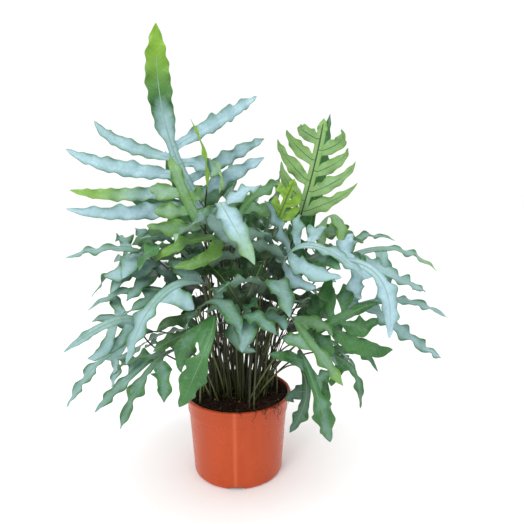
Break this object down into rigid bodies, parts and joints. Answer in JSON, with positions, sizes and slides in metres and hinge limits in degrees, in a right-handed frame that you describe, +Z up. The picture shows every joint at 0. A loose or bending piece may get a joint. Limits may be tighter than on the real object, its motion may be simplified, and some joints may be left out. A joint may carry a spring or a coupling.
{
  "type": "potted blue star fern",
  "caption": "Dense clump of arching, lobed, wavy-edged blue-green fern fronds standing in peat in a round tapered nursery pot.",
  "frame": {"origin": "centre of the pot's foot, on the surface that the pot stands on", "axes": "+Z up through the middle of the pot, +X to the right and -Y towards the viewer who faces the clump's front, where the long drooping front blades are"},
  "size_m": [0.4934, 0.3171, 0.555],
  "materials": {
    "pot": "glossy moulded terracotta-orange plastic",
    "peat": "dark moist peat with bark crumbs, perlite and fine roots",
    "frond": "leathery blue-green leaf with a pale waxy bloom, pale midribs and olive stems"
  },
  "bodies": {
    "root": {"pot": "pot", "peat": "peat", "frond_low_left": "frond", "frond_low_right": "frond", "frond_front": "frond", "frond_left_blue": "frond", "frond_blue_drop": "frond", "frond_blue_right": "frond", "frond_tall": "frond", "frond_young_right": "frond", "frond_small_young": "frond", "frond_young_left": "frond", "frond_right_mid": "frond", "frond_mid_yellow": "frond", "frond_left_star": "frond", "frond_right_front": "frond", "frond_left_top": "frond", "frond_small_left": "frond", "frond_small_mid": "frond", "frond_left_low": "frond", "frond_left_under": "frond", "frond_left_green": "frond", "frond_left_arc": "frond", "frond_right_under": "frond", "frond_right_back_low": "frond", "frond_right_top": "frond", "frond_mid_heart": "frond", "frond_mid_green": "frond", "frond_right_far": "frond", "frond_right_low": "frond", "frond_erect_right": "frond", "frond_centre_up": "frond", "frond_curl": "frond", "frond_back_01": "frond", "frond_back_02": "frond", "frond_back_03": "frond", "frond_back_04": "frond", "frond_back_05": "frond", "frond_back_06": "frond", "frond_back_07": "frond", "frond_back_08": "frond", "frond_back_09": "frond", "frond_back_10": "frond", "frond_back_11": "frond", "frond_heart_01": "frond", "frond_heart_02": "frond", "frond_heart_03": "frond", "frond_heart_04": "frond", "frond_heart_05": "frond", "frond_heart_06": "frond", "frond_heart_07": "frond", "frond_heart_08": "frond", "frond_heart_09": "frond", "frond_heart_10": "frond", "frond_heart_11": "frond", "frond_heart_12": "frond", "frond_heart_13": "frond", "frond_heart_14": "frond", "frond_heart_15": "frond"}
  },
  "joints": []
}
